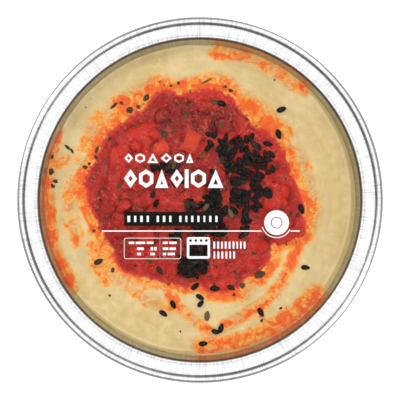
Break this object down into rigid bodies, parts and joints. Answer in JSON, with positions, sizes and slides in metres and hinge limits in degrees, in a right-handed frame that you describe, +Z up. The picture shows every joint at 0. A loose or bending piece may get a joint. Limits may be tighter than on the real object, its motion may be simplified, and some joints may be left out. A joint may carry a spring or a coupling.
{
  "type": "hummus tray",
  "caption": "Round aluminium foil tray of hummus with a red pepper topping, sesame and herbs, closed by a clear film on its flange.",
  "frame": {"origin": "centre of the tray's footprint, on the plane its foot stands on", "axes": "+Z up through the middle of the tray and its film; +Y is the top of the film's print, +X its right"},
  "size_m": [0.118, 0.118, 0.03],
  "materials": {
    "tray_foil": "bright, lightly brushed foil",
    "hummus": "moist cream paste",
    "pepper": "glossy red relish",
    "film": "clear glossy film"
  },
  "bodies": {
    "root": {"tray": "tray_foil", "hummus": "hummus", "pepper_topping": "pepper", "film_lid": "film"}
  },
  "joints": []
}
